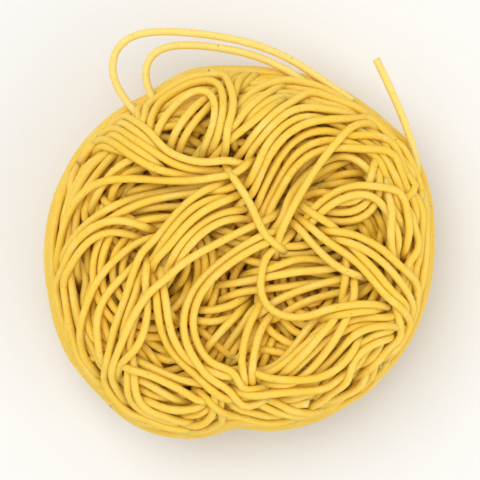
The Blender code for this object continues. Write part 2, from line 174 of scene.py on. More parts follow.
# Crown strands, the lowest first: strands side by side, pitch at the first and at the last point,
# and the points of the first strand
BUNDLES = (
    (3, -1.6, -1.5, ((1.5, 2), (4.5, 1), (8, 0.6), (12, 1), (15, 2))),
    (2, -1.6, -1.6, ((3, -2.6), (6, -1.6), (9.5, -1.2), (13, -1.6), (16.5, -2.8))),
    (2, -1.9, -1.7, ((2, -4.6), (7, -3.8), (10, -3.2), (15, -3))),
    (2, -1.9, -1.7, ((5.5, -8.2), (8, -6.8), (11, -5.3), (16.5, -4.4))),
    (1, 0.0, 0.0, ((16.6, -1), (16.6, -4.5), (16.5, -8), (16, -11))),
    (2, 2.2, 1.6, ((-5.6, -11.4), (-2.6, -11.2), (1.6, -9.4))),
    (2, 2.4, 1.8, ((-2.8, -16.6), (-1.2, -14.2), (1.4, -11))),
    (3, -1.4, -1.3, ((-29, 9), (-29, 3), (-28.6, -3), (-27.4, -9), (-25.2, -15.5), (-21.4, -21.5),
        (-16.5, -26))),
    (3, -1.3, -1.3, ((21.4, 14.4), (24.3, 10), (25.8, 4), (26, -2), (25.2, -8), (23.4, -13),
        (20.5, -17))),
    (3, -1.3, -1.3, ((20, 19), (23, 16.5), (25.6, 13), (27.5, 9.6), (28.4, 6.5), (28.8, 2), (28.7, -2),
        (28.1, -6), (27.2, -10), (26, -14), (24, -18))),
    (3, -1.3, -1.0, ((-0.5, 21.4), (2.6, 24.2), (6.3, 25.8), (10.7, 25.2), (15.6, 23.4), (20, 21),
        (24, 17))),
    (3, -1.2, -1.4, ((-1.2, 10.8), (-0.2, 12.8), (1, 15), (2.4, 17.2), (4.2, 19.6), (6.6, 22), (10, 23.2),
        (14.6, 22.5), (19.5, 20.4), (23, 17.4), (26, 12.5))),
    (3, -1.5, -1.4, ((1.2, 7.4), (2.4, 9.6), (3.6, 12), (5, 14.6), (7.2, 17.4), (10.7, 19.4), (16, 19.6),
        (21, 17.9), (24.4, 14.8), (26.3, 11))),
    (2, -2.0, -1.5, ((4.2, 3.6), (5.5, 6.6), (7, 9.8), (8.8, 12.6), (11.2, 14.6), (14, 15.7),
        (17.6, 15.7), (21.6, 14), (24, 11.4), (25.6, 7.5))),
    (2, -1.4, -1.4, ((-13.4, 17.8), (-10.5, 17.2), (-8, 16.6))),
    (2, -1.3, -1.3, ((-12.4, 20.6), (-9.5, 21.2), (-6.5, 20.8))),
    (1, 0.0, 0.0, ((-12.6, 18.8), (-9.5, 19.4), (-7, 19))),
    (2, -1.5, -1.4, ((-10.6, 14), (-10, 16.5), (-9, 18.6), (-7.6, 20.4), (-6, 22), (-4.2, 23.8),
        (-2.5, 25.4))),
    (1, 0.0, 0.0, ((-2.2, 25), (-2.2, 23), (-2.8, 21.5), (-3.3, 19.5), (-3.2, 17.5))),
    (1, 0.0, 0.0, ((0, 25), (-0.4, 22.5), (-0.8, 20), (-0.4, 17.6))),
    (2, -1.5, -1.5, ((-5.8, 14.2), (-4, 16), (-2.5, 17.3), (-1, 18.5), (0.5, 20), (2.4, 21.6))),
    (3, -1.3, -1.2, ((-14.8, 18.6), (-13.5, 20.8), (-12, 23), (-10.5, 24.8), (-9, 26), (-7, 27.1),
        (-4.5, 27.5), (-2.3, 26.8), (-1, 25), (-0.4, 22), (-0.6, 18))),
    (1, 0.0, 0.0, ((-14.4, 20), (-13.8, 17), (-14, 15), (-13.2, 12.5))),
    (3, 1.4, 0.9, ((-23.8, 17), (-20.4, 17.2), (-17.4, 16.2), (-14.4, 14.2))),
    (2, -1.6, -1.4, ((-21.5, 8.5), (-19.8, 11.2), (-18, 12.8), (-15.6, 14.4))),
    (1, 0.0, 0.0, ((-16.4, -23.8), (-14.1, -24.2), (-10.8, -24.8), (-7.6, -24.4), (-4.4, -22.9))),
    (2, -1.3, -1.2, ((-15.6, -21.4), (-13, -22.5), (-9.8, -23.1), (-6.6, -22.9), (-4, -21.9))),
    (1, 0.0, 0.0, ((-17.1, -19.5), (-13.9, -19.3), (-12.3, -20.8), (-10.4, -22.2))),
    (2, -1.2, -1.1, ((-15.4, -16.6), (-12.8, -17.6), (-10.8, -18.8), (-8.7, -19.7), (-6.6, -20.8),
        (-3.8, -21.2))),
    (2, -1.5, -1.3, ((-0.5, -20.6), (2, -19.6), (4.5, -18.6), (6.5, -17.3), (8, -15.5), (9.3, -13.5),
        (11, -11.6), (13.5, -9.6))),
    (2, -1.5, -1.3, ((0, -21.2), (4, -19.8), (7, -18), (9.5, -15.5), (11.5, -13.2), (13.5, -11.7),
        (16, -10.4), (19, -9.8), (22.5, -10))),
    (1, 0.0, 0.0, ((5, -21.2), (8.5, -20.2), (11, -18.4), (13.5, -15.5), (15, -13.3), (16.5, -11),
        (17.4, -8))),
    (1, 0.0, 0.0, ((8, -17.6), (10, -15.2), (12.4, -12.4), (14.5, -10))),
    (2, -1.5, -1.3, ((13.4, -17.5), (15.6, -15), (18, -12.6), (20.6, -11.4))),
    (2, -1.6, -1.3, ((0, -19.9), (3, -19.8), (6, -19.5), (10, -19.7), (13, -19.5), (15, -18.7),
        (16.8, -17.2), (18.4, -15))),
    (1, 0.0, 0.0, ((13, -23.5), (14.7, -20), (15.8, -17.8), (17.5, -16), (19.3, -14.3), (21, -13.2))),
    (4, -1.1, -1.9, ((0, -20.6), (4, -22), (6.5, -23), (8.5, -24), (11, -25.4))),
    (2, 1.3, 1.2, ((10.5, 5), (14, 4.4), (17, 4.2), (19.6, 4.6), (21.2, 6), (21.8, 7.8), (20.6, 9.4))),
    (1, 0.0, 0.0, ((14, 7.2), (17, 6.7), (19.4, 7), (20.4, 8.6))),
    (2, -1.3, -1.3, ((10.5, 5.5), (12, 7), (13.5, 8.3), (15.5, 9.4), (18, 10.1), (20.5, 10.2),
        (22.5, 9.2), (24, 7.8), (25.3, 5.6), (26, 2.5))),
    (1, 0.0, 0.0, ((22.9, 8), (23.2, 5.5), (23.2, 2), (23.5, -1))),
    (1, 0.0, 0.0, ((-18.1, 6), (-16.4, 4.7), (-14.4, 3.2))),
    (2, 1.6, 1.5, ((-15.5, 4.3), (-13, 4.9), (-10.5, 5.1), (-7, 5.2))),
    (3, 1.5, 0.9, ((-21.4, 17.4), (-18.8, 17), (-16.4, 15.6), (-14.4, 13.9), (-12, 12.4), (-9, 11.3),
        (-5, 10.9), (-1, 11))),
    (2, 1.1, 1.3, ((-1, 10.9), (-3.4, 10), (-6.6, 9.5), (-9.6, 9.4), (-12.6, 8.8), (-15.1, 8.1),
        (-18.1, 6.8), (-20.5, 5.5), (-22.7, 4), (-24.2, 2.5), (-25.7, 0.6), (-26.6, -2))),
    (1, 0.0, 0.0, ((-0.6, 11.7), (-3, 10.9), (-6.6, 10.3), (-11.7, 10.5), (-15.1, 10.7), (-18.4, 10.7),
        (-20.9, 10.2), (-23.1, 9.1), (-24.8, 7.5), (-25.9, 5.1), (-26.6, 2), (-26.8, -1.5))),
    (2, -1.4, -1.2, ((-15.2, 2.4), (-16.6, 3.1), (-19.4, 3.4), (-22, 1.8), (-24.2, -0.6), (-25.4, -3.4),
        (-25.9, -8), (-25.4, -12), (-24.4, -16), (-22.8, -19.3), (-20.5, -22.2), (-17.4, -24.4),
        (-13, -26.3), (-9.8, -27.5), (-7, -27.5), (-4.8, -26.2), (-3.5, -24.2), (-2.8, -21.8))),
    (1, 0.0, 0.0, ((-11.9, 2.6), (-13.9, 2), (-16.4, 0.3), (-19.4, -2.5), (-21.6, -5.3), (-22.6, -8.1),
        (-23.7, -11.1), (-23.9, -15), (-22.4, -18.6))),
    (1, 0.0, 0.0, ((-13.6, -0.4), (-15.4, -2.1), (-18.1, -4.7), (-20.3, -7), (-21.1, -9.4),
        (-21.5, -11.5), (-20.9, -14.3), (-19.9, -16.3), (-18.4, -18.6))),
    (3, 1.4, 0.9, ((-2.4, 10), (-4.6, 9.3), (-7, 7.9), (-9.4, 5.4), (-11.3, 2.8), (-13, 0.1),
        (-14.7, -2.9), (-16.4, -6.4), (-17.9, -10.2), (-18.8, -13.5), (-19, -16.7), (-18.1, -19.7),
        (-17.1, -22.5), (-15.4, -24.6), (-12.4, -26.2), (-9, -27.2))),
    (3, 1.3, 1.1, ((0, 8), (-2.6, 7.3), (-5, 6), (-7.4, 4), (-9.4, 1.8), (-11, -0.6), (-12.4, -3))),
    (1, 0.0, 0.0, ((-12.9, -4), (-13, -6), (-13.2, -8.5), (-13.4, -11.1), (-14.3, -13.9), (-15.6, -16),
        (-17, -17.9))),
    (1, 0.0, 0.0, ((-12.3, -6.8), (-10.8, -9), (-9.1, -10.7))),
    (2, 1.4, 1.0, ((-12.4, -5.4), (-11.9, -9), (-11.7, -11.7), (-10.4, -15), (-8.3, -17.3), (-5.5, -19.3),
        (-2.5, -20.7), (1, -21.4))),
    (1, 0.0, 0.0, ((4.2, 4.2), (2, 3.3), (-1.2, 2), (-4.4, 0.3), (-7.6, -1.4), (-10.8, -3.6),
        (-12.6, -5.3), (-14.3, -7.7), (-15.8, -10.7), (-16.9, -13.5), (-17.5, -15.6), (-17.6, -18.5),
        (-17, -21))),
    (2, 2.3, 1.7, ((3.3, -8), (2.2, -9.8), (1.2, -12), (0.8, -15), (0.5, -18), (0.6, -20))),
    (2, 1.25, 1.25, ((5.6, 2.6), (3, 1.8), (-0.1, 0.1), (-3.3, -2.3), (-5.9, -4.7), (-7.5, -7.2),
        (-8.4, -9.8), (-8.2, -12.4), (-7.1, -15.4), (-5.3, -17.7), (-2.7, -19.8), (0.3, -20.9),
        (3.5, -21.5))),
    (1, 0.0, 0.0, ((9, 3.4), (11, 1.4), (13, -0.5), (14.7, -2.2), (16.3, -3.6), (19, -4.4))),
    (1, 0.0, 0.0, ((13.4, -10.3), (16, -9.5), (18.6, -9), (21.4, -9.1))),
    (1, 0.0, 0.0, ((6.4, 1.6), (4.6, -0.4), (3.9, -2.2), (3.5, -4.2), (3.3, -6.8), (4, -8.8), (5.6, -9.9),
        (8.2, -10.7), (11, -10.4), (13.6, -9.4), (16.2, -8.4), (19.2, -7.8), (22.4, -8.1))),
    (2, 1.3, 1.3, ((9.6, 4.8), (10.8, 4), (12.6, 2.6), (16.5, -0.4), (19.2, -3), (21.4, -6), (23.2, -8.8),
        (24.2, -12), (24, -15), (22.8, -18))),
    (2, 1.3, 1.3, ((14, 1.8), (16.5, 1.4), (19, 0.5), (21.5, -0.9), (23.5, -2.8), (25, -5.3), (26, -8),
        (26.4, -11), (26.1, -14), (25, -17))),
    (1, 0.0, 0.0, ((6, 0.6), (6.7, 3), (7.5, 5), (8.8, 7.5), (10.3, 10), (12, 12.5), (13.5, 14.5),
        (15.3, 16.5), (17.5, 18), (20, 18.6), (22, 17.5), (24.5, 15.3), (26, 13))),
    (1, 0.0, 0.0, ((-1.4, 12.6), (-0.6, 10.9), (0.3, 9.5), (1.6, 8), (2.6, 6.4), (3, 4.4), (3.6, 2.6),
        (4.7, 1.3), (5.9, 0.5))),
)

# Loose strands, as x, y and height: the two of the free loop, and the stray at the right
LOOSE = (
    ((-14.8, 20, 17.3), (-17.4, 23.2, 17.5), (-19.6, 26.8, 17.6), (-18.6, 32, 17.0), (-13.5, 33.6, 16.6),
     (-4, 33, 16.5), (4, 31.2, 16.9), (10.5, 28, 17.4), (17.5, 22, 17.6)),
    ((-12.0, 20.8, 18.0), (-14.5, 26.2, 18.0), (-13.8, 30.6, 17.6), (-8.5, 31.6, 17.2), (0, 30.6, 17.1),
     (6, 28.6, 17.5), (13.4, 23.4, 17.9)),
    ((21.4, 29.3, 15.4), (24.2, 23.4, 16.0), (27, 16, 16.6), (27.4, 7.5, 16.2)),
)


class NestSizes(bpy.types.PropertyGroup):
    """Sizes of the strands and of the pile."""

    strand: bpy.props.FloatProperty(
        name="Strand", description="Diameter of one strand", default=0.0012, unit="LENGTH", precision=5)
    sides: bpy.props.IntProperty(
        name="Sides", description="Faces round one strand", default=9, min=5)
    ring: bpy.props.FloatProperty(
        name="Ring", description="Distance between the rings of a strand's mesh", default=0.0011,
        unit="LENGTH", precision=5)
    seed: bpy.props.IntProperty(
        name="Seed", description="Which of the possible nests is wound", default=11)
    wall_pitch: bpy.props.FloatProperty(
        name="Wall pitch", description="Rise of the outer windings in one turn", default=0.00136,
        unit="LENGTH", precision=5)
    wall_layers: bpy.props.IntProperty(
        name="Wall layers", description="Windings one inside the other at the flank", default=2)
    filling: bpy.props.FloatProperty(
        name="Filling", description="Length of strand inside the windings", default=12.0, unit="LENGTH")


def outline(angle):
    """Radius of the body in each direction, rounded between the listed ones."""
    place = np.degrees(angle) % 360 / (360 / len(RADII))
    first = np.floor(place).astype(int)
    share = (1 - np.cos(np.pi * (place - first))) / 2
    near = RADII[first % len(RADII)]
    far = RADII[(first + 1) % len(RADII)]
    return near + (far - near) * share


def gap_depth(x, y):
    """How far the gaps sink the crown at each place."""
    deepest = np.zeros_like(x)
    for at_x, at_y, reach, depth in GAPS:
        share = np.hypot(x - at_x, y - at_y) / reach
        deepest = np.maximum(deepest, depth * np.clip(1 - share * share, 0, 1) ** GAP_ROUNDING)
    return deepest


def crown_height(x, y):
    """Height of the finished crown at each place, carried on level beyond its edge."""
    share = np.hypot(x, y) / outline(np.arctan2(y, x))
    return np.interp(share, [s for s, _ in CROWN], [h for _, h in CROWN])


def flank_share(height):
    """Share of the body's radius that the flank reaches at each height."""
    return np.interp(height, [h for _, h in FLANK], [s for s, _ in FLANK])


def even_line(points, step):
    """The same polyline, cut into equal steps."""
    run = np.concatenate([[0], np.cumsum(np.linalg.norm(np.diff(points, axis=0), axis=1))])
    count = max(3, round(run[-1] / step))
    wanted = np.linspace(0, run[-1], count + 1)
    return np.column_stack([np.interp(wanted, run, points[:, axis]) for axis in range(points.shape[1])])


def smooth_line(points, step):
    """A curve through the points, cut into equal steps."""
    points = [np.array(point, float) for point in points]
    padded = [2 * points[0] - points[1], *points, 2 * points[-1] - points[-2]]
    fine = []
    for index in range(1, len(padded) - 2):
        before, start, end, after = padded[index - 1:index + 3]
        for share in np.linspace(0, 1, 16, endpoint=False):
            fine.append(
                0.5 * (
                    2 * start + (end - before) * share
                    + (2 * before - 5 * start + 4 * end - after) * share ** 2
                    + (3 * start - before - 3 * end + after) * share ** 3
                )
            )
    fine.append(points[-1])
    return even_line(np.array(fine), step)


def beside(line, distance):
    """The same route, shifted sideways by a distance that may change along it."""
    along = np.gradient(line[:, :2], axis=0)
    along /= np.linalg.norm(along, axis=1)[:, None] + 1e-9
    moved = line.copy()
    moved[:, 0] -= along[:, 1] * distance
    moved[:, 1] += along[:, 0] * distance
    return moved


def waver(count, step, wavelength, size, rng):
    """Slow random waves along a line of points."""
    place = np.arange(count) * step
    total = np.zeros(count)
    for part in WAVE_PARTS:
        length = wavelength * part * rng.uniform(0.8, 1.25)
        total += part * WAVE_SCALE * np.sin(2 * np.pi * place / length + rng.uniform(0, 2 * np.pi))
    return total * size


class Heap:
    """A map of how high the centre of the next strand has to lie over each place."""

    # Cell and half width of the map, height where nothing may lie, share of the radius beyond which the
    # ground is free again, margin in cells, rounds of smoothing, and step along a strand that is added
    CELL = 0.35
    HALF = 38.0
    OUT_OF_REACH = 40.0
    OUTSIDE = 0.995
    EDGE = 3
    ROUNDING_PASSES = 3
    FINE_STEP = 0.5

    def __init__(self, diameter):
        self.diameter = diameter
        count = int(2 * self.HALF / self.CELL) + 1
        axis = np.linspace(-self.HALF, self.HALF, count)
        self.x, self.y = np.meshgrid(axis, axis, indexing="ij")
        share = (np.hypot(self.x, self.y) - WALL_PROUD) / outline(np.arctan2(self.y, self.x))
        lower_flank = FLANK[:5]
        walls = [s for s, _ in lower_flank]
        levels = [max(h, diameter / 2) for _, h in lower_flank]
        self.low = np.interp(share, walls + [1.0], levels + [self.OUT_OF_REACH])
        self.low[share > self.OUTSIDE] = diameter / 2
        self.strands = []

    def cells(self, route):
        """Cells of the map that the points of a route lie in."""
        place = np.round((route[:, :2] + self.HALF) / self.CELL).astype(int)
        return np.clip(place, self.EDGE, self.x.shape[0] - 1 - self.EDGE)

    def rest(self, route, passes):
        """Heights of a stiff strand that rests on what is below its route."""
        place = self.cells(route)
        under = self.low[place[:, 0], place[:, 1]]
        height = under.copy()
        for _ in range(passes):
            padded = np.concatenate([height[:1], height, height[-1:]])
            height = np.maximum(under, (padded[:-2] + height + padded[2:]) / 3)
        for _ in range(self.ROUNDING_PASSES):
            padded = np.concatenate([height[:1], height, height[-1:]])
            height = (padded[:-2] + 2 * height + padded[2:]) / 4
        return height

    def add(self, strand, kind):
        """Keep a strand and raise the map over it."""
        self.strands.append((kind, strand))
        reach = int(self.diameter / self.CELL) + 1
        span = np.arange(-reach, reach + 1)
        fine = even_line(strand, self.FINE_STEP)
        place = self.cells(fine)
        i = (place[:, 0, None, None] + span[None, :, None]).clip(0, self.x.shape[0] - 1)
        j = (place[:, 1, None, None] + span[None, None, :]).clip(0, self.x.shape[0] - 1)
        i, j = np.broadcast_arrays(i, j)
        away = (
            (self.x[i, j] - fine[:, 0, None, None]) ** 2
            + (self.y[i, j] - fine[:, 1, None, None]) ** 2
        )
        inside = away < self.diameter ** 2
        over = fine[:, 2, None, None] + np.sqrt(np.clip(self.diameter ** 2 - away, 0, None))
        np.maximum.at(self.low, (i[inside], j[inside]), over[inside])


def wall_strands(diameter, pitch, layers, rng):
    """The windings at the flank, one helix cut into strands, with a slow sway that neighbours share."""
    made = []
    phases = [rng.uniform(0, 2 * math.pi) for _ in range(6)]
    for layer in range(layers):
        inner = layer > 0
        turns = (WALL_HEIGHT - diameter / 2) / pitch * (INNER_TURNS if inner else 1.0)
        count = int(turns * TURN_POINTS)
        angle = np.linspace(0, turns * 2 * np.pi, count) * (1 if layer % 2 == 0 else -1)
        level = diameter / 2 + np.linspace(0, 1, count) * (WALL_LAST - diameter / 2)
        at_foot = np.clip((level - 1.0) / 4, 0, 1)
        at_rim = np.clip((21.5 - level) / 4, 0.3, 1)
        sway = np.zeros(count)
        for (size, waves, twist), phase in zip(SWAY, phases):
            sway += size * np.sin(angle % (2 * np.pi) * waves + phase + level * twist)
        sway *= at_foot
        sway *= at_rim
        lift = level + sway * (-1 if inner else 1)
        lift += waver(count, ROUTE_STEP, 55, 0.22, rng)
        inset = layer * diameter * 1.02 + np.abs(waver(count, ROUTE_STEP, 34, 0.25, rng))
        lift = np.maximum(lift, diameter / 2)
        reach = flank_share(lift) * outline(angle) + WALL_PROUD - inset
        whole = np.column_stack([reach * np.cos(angle), reach * np.sin(angle), lift])
        run = 0
        while run < count - FEWEST_POINTS:
            length = int(rng.uniform(*WALL_STRAND_POINTS))
            piece = whole[run:run + length]
            if len(piece) > FEWEST_POINTS:
                made.append(even_line(piece, SETTLE_STEP))
            run += length
    return made


def loop_route(rng):
    """A rosette of loops that touch the wall and pass near the middle."""
    out = rng.uniform(0.66, 0.88) * MEAN_RADIUS
    small = rng.uniform(9.0, 15.0)
    centre = out - small
    turns = rng.uniform(2.0, 4.5)
    drift = rng.choice((-1, 1)) * rng.uniform(0.2, 0.42)
    start = rng.uniform(0, 2 * math.pi)
    count = int(turns * 2 * math.pi * small)
    turn = np.linspace(0, turns * 2 * np.pi, count) + start
    swing = turn * drift + rng.uniform(0, 2 * math.pi)
    x = centre * np.cos(swing) + small * np.cos(turn)
    y = centre * np.sin(swing) + small * np.sin(turn)
    return fit_outline(np.column_stack([x, y]), rng)


def ring_route(rng):
    """Turns that run round inside the wall."""
    share = rng.uniform(0.55, 0.88)
    turns = rng.uniform(1.0, 2.2)
    start = rng.uniform(0, 2 * math.pi)
    count = int(turns * 2 * math.pi * share * MEAN_RADIUS)
    turn = start + np.linspace(0, turns * 2 * np.pi, count) * rng.choice((-1, 1))
    reach = share * MEAN_RADIUS + waver(count, ROUTE_STEP, 70, 1.3, rng)
    return fit_outline(np.column_stack([reach * np.cos(turn), reach * np.sin(turn)]), rng)


def fit_outline(route, rng):
    """Stretch a round route to the body's outline, let it waver, and keep it inside the wall."""
    angle = np.arctan2(route[:, 1], route[:, 0])
    route = route * (outline(angle) / MEAN_RADIUS)[:, None]
    route = even_line(route, ROUTE_STEP)
    route = beside(route, waver(len(route), ROUTE_STEP, 60, 0.9, rng))
    return even_line(keep_inside(route), ROUTE_STEP)


def keep_inside(route):
    """The route, drawn in wherever it would pass through the wall."""
    reach = np.hypot(route[:, 0], route[:, 1])
    most = FILL_REACH * outline(np.arctan2(route[:, 1], route[:, 0]))
    return route * np.minimum(1, most / (reach + 1e-9))[:, None]


def lowest_spot(heap, target, rng):
    """One of the places inside the wall that are furthest below the target."""
    share = np.hypot(heap.x, heap.y) / outline(np.arctan2(heap.y, heap.x))
    room = np.where(share < SPOT_REACH, target - heap.low, -9.0)
    spots = np.argwhere(room > 0.7 * room.max())
    i, j = spots[rng.randrange(len(spots))]
    return heap.x[i, j], heap.y[i, j]


def coil_route(spot, rng):
    """A few small turns that pass over a place."""
    small = rng.uniform(4.0, 10.0)
    turns = rng.uniform(0.7, 1.9)
    flat = rng.uniform(0.6, 0.95)
    away = rng.uniform(0, 2 * math.pi)
    count = int(turns * 2 * math.pi * small)
    turn = np.linspace(0, turns * 2 * np.pi, count) + rng.uniform(0, 6)
    grow = small * np.linspace(1.0, rng.uniform(0.8, 1.5), count)
    long = grow * np.cos(turn) + small
    wide = flat * grow * np.sin(turn)
    drift_x = np.linspace(0, rng.uniform(-6, 6), count)
    drift_y = np.linspace(0, rng.uniform(-6, 6), count)
    x = spot[0] + drift_x + long * math.cos(away) - wide * math.sin(away)
    y = spot[1] + drift_y + long * math.sin(away) + wide * math.cos(away)
    return even_line(keep_inside(np.column_stack([x, y])), ROUTE_STEP)


def bridge_route(spot, shortest, longest, rng):
    """A gentle arc that crosses a place."""
    bend = rng.choice((-1, 1)) / rng.uniform(9.0, 40.0)
    ahead = rng.uniform(shortest, longest)
    behind = rng.uniform(shortest, longest)
    run = np.arange(-behind, ahead, 1.0)
    heading = rng.uniform(0, 2 * math.pi) + bend * run
    x = np.cumsum(np.cos(heading))
    y = np.cumsum(np.sin(heading))
    middle = int(behind)
    route = np.column_stack([x - x[middle] + spot[0], y - y[middle] + spot[1]])
    return even_line(keep_inside(route), ROUTE_STEP)


def try_route(spot, patching, rng):
    """One route at random: a rosette, a ring, a coil or a bridge, or a short bridge when patching."""
    pick = rng.random()
    if patching:
        route = bridge_route(spot, *SHORT_BRIDGE, rng)
    elif pick < 0.3:
        route = loop_route(rng)
    elif pick < 0.42:
        route = ring_route(rng)
    elif pick < 0.7:
        route = coil_route(spot, rng)
    else:
        route = bridge_route(spot, *BRIDGE, rng)
    return route[:int(rng.uniform(120, 330))]


def gain(heap, target, route, patching):
    """How much a route fills of what is low, less what it would stand proud of the target."""
    height = heap.rest(route, STIFF_SHORT if patching else STIFF_TRIED)
    place = heap.cells(route)
    wanted = target[place[:, 0], place[:, 1]]
    under = heap.low[place[:, 0], place[:, 1]]
    over = np.mean(np.clip(height - wanted - PROUD_FREE, 0, None))
    return np.mean(np.clip(wanted - under, 0, MOST_GAIN)) - PROUD_PRICE[patching] * over


def lay_bundle(heap, route, patching, rng):
    """Lay a few strands side by side along a route, with their ends led down; gives their length."""
    short = len(route) < SHORT_ROUTE
    count = rng.randint(1, 3) if patching else rng.randint(2, 4 if short else 5)
    pitch = heap.diameter * (rng.uniform(1.1, 1.9) if short else rng.uniform(1.03, 1.3))
    trim = 1 if patching else 4 if short else 10
    laid = 0.0
    for index in range(count):
        shift = (index - (count - 1) / 2) * pitch + waver(len(route), ROUTE_STEP, 45, 0.22, rng)
        line = keep_inside(beside(route, shift))
        line = line[rng.randint(0, trim):len(line) - rng.randint(0, trim)]
        line = even_line(line, ROUTE_STEP)
        height = heap.rest(line, STIFF_SHORT if patching else STIFF_LAID)
        tail = np.minimum(np.arange(len(line)), np.arange(len(line))[::-1])
        height -= TAIL_SINK * np.clip(1 - tail / TAIL_POINTS, 0, 1) ** TAIL_CURVE
        height = np.maximum(height, heap.diameter / 2)
        heap.add(np.column_stack([line, height]), "inner")
        laid += len(line) * MM
    return laid


def fill_body(heap, length, sink, rng):
    """Lay bundles of strands inside the wall, each time the one that best fills what is still low."""
    target = crown_height(heap.x, heap.y) - gap_depth(heap.x, heap.y) - sink
    laid = 0.0
    misses = 0
    while laid < length and misses < MOST_MISSES:
        best = None
        patching = misses >= PATCH_AFTER
        spot = lowest_spot(heap, target, rng)
        for _ in range(TRIES):
            route = try_route(spot, patching, rng)
            score = gain(heap, target, route, patching)
            if best is None or score > best[0]:
                best = (score, route)
        if best[0] < LEAST_GAIN[patching]:
            misses += 1
            near = np.hypot(heap.x - spot[0], heap.y - spot[1]) < HOLE_REACH
            target[near] = np.minimum(target[near], heap.low[near])
            continue
        laid += lay_bundle(heap, best[1], patching, rng)


def lead_out(route, length):
    """Carry a route on past its last point with the bend it has there."""
    step = route[-1] - route[-2]
    bend = math.atan2(step[1], step[0]) - math.atan2(*(route[-3] - route[-4])[::-1])
    bend = (bend + math.pi) % (2 * math.pi) - math.pi
    bend = max(-MOST_BEND, min(MOST_BEND, bend / 2))
    heading = math.atan2(step[1], step[0])
    size = np.linalg.norm(step)
    points = [route[-1]]
    for _ in range(int(length / size)):
        heading += bend
        points.append(points[-1] + size * np.array([math.cos(heading), math.sin(heading)]))
    return np.array(points[1:])


def crown_routes(rng):
    """Routes of the crown's strands, with how far each point dives where the ends run on."""
    made = []
    for place, (count, near, far, points) in enumerate(BUNDLES):
        first = smooth_line(points, ROUTE_STEP)
        lead = min(
            LEAD - LEAD_LESS * (place / len(BUNDLES)) ** 2, LEAD_BASE + LEAD_SHARE * len(first))
        pitch = np.linspace(near, far, len(first))
        for index in range(count):
            route = beside(first, index * pitch + waver(len(first), ROUTE_STEP, 28, 0.16, rng))
            trim = rng.randint(0, 2)
            route = even_line(route[trim:len(route) - rng.randint(0, 2)], ROUTE_STEP)
            after = lead_out(route, lead)
            before = lead_out(route[::-1], lead)[::-1]
            whole = np.vstack([before, route, after])
            reach = np.hypot(whole[:, 0], whole[:, 1])
            most = CROWN_REACH * outline(np.arctan2(whole[:, 1], whole[:, 0]))
            whole *= np.minimum(1, most / reach)[:, None]
            for _ in range(6):
                whole[1:-1] = (whole[:-2] + 2 * whole[1:-1] + whole[2:]) / 4
            dive = np.zeros(len(whole))
            dive[:len(before)] = DIVE * np.linspace(1, 0, len(before)) ** DIVE_CURVE
            dive[len(whole) - len(after):] = DIVE * np.linspace(0, 1, len(after)) ** DIVE_CURVE
            made.append((whole, dive))
    return made


# A cell and the half of its neighbours that comes after it, so that each pair is met once
HALF_NEIGHBOURS = [step for step in itertools.product((-1, 0, 1), repeat=3) if step >= (0, 0, 0)]


def close_pairs(places, owner, order, reach):
    """Every pair of points of different strands, or far apart on one, that are nearer than the reach."""
    cell = np.floor((places - places.min(axis=0)) / reach).astype(np.int64) + 1
    size = cell.max(axis=0) + 2
    key = (cell[:, 0] * size[1] + cell[:, 1]) * size[2] + cell[:, 2]
    sorted_by = np.argsort(key, kind="stable")
    ordered = key[sorted_by]
    firsts = []
    seconds = []
    for dx, dy, dz in HALF_NEIGHBOURS:
        wanted = key + (dx * size[1] + dy) * size[2] + dz
        start = np.searchsorted(ordered, wanted, "left")
        stop = np.searchsorted(ordered, wanted, "right")
        count = stop - start
        a = np.repeat(np.arange(len(places)), count)
        offset = np.arange(count.sum()) - np.repeat(np.cumsum(count) - count, count)
        b = sorted_by[np.repeat(start, count) + offset]
        if (dx, dy, dz) == (0, 0, 0):
            keep = a < b
            a, b = a[keep], b[keep]
        keep = (owner[a] != owner[b]) | (np.abs(order[a] - order[b]) > NEIGHBOURS)
        a, b = a[keep], b[keep]
        near = ((places[a] - places[b]) ** 2).sum(axis=1) < reach * reach
        firsts.append(a[near])
        seconds.append(b[near])
    return np.concatenate(firsts), np.concatenate(seconds)


def spread_along(values, same, share):
    """Values of the points of strands, each spread three times over its neighbours on the strand."""
    for _ in range(3):
        spread = values.copy()
        spread[1:][same] += values[:-1][same]
        spread[:-1][same] += values[1:][same]
        values = spread / share
    return values


def push_apart(places, a, b, diameter):
    """How far each point has to move away from the strands that it presses into."""
    apart = places[a] - places[b]
    length = np.linalg.norm(apart, axis=1) + 1e-9
    touch = length < diameter
    push = apart[touch] * ((diameter - length[touch]) / length[touch] * 0.5)[:, None]
    total = np.zeros_like(places)
    for axis in range(3):
        total[:, axis] = (
            np.bincount(a[touch], push[:, axis], len(places))
            - np.bincount(b[touch], push[:, axis], len(places))
        )
    hits = np.bincount(a[touch], minlength=len(places)) + np.bincount(b[touch], minlength=len(places))
    return total / np.maximum(1, hits)[:, None] ** PUSH_CALMING


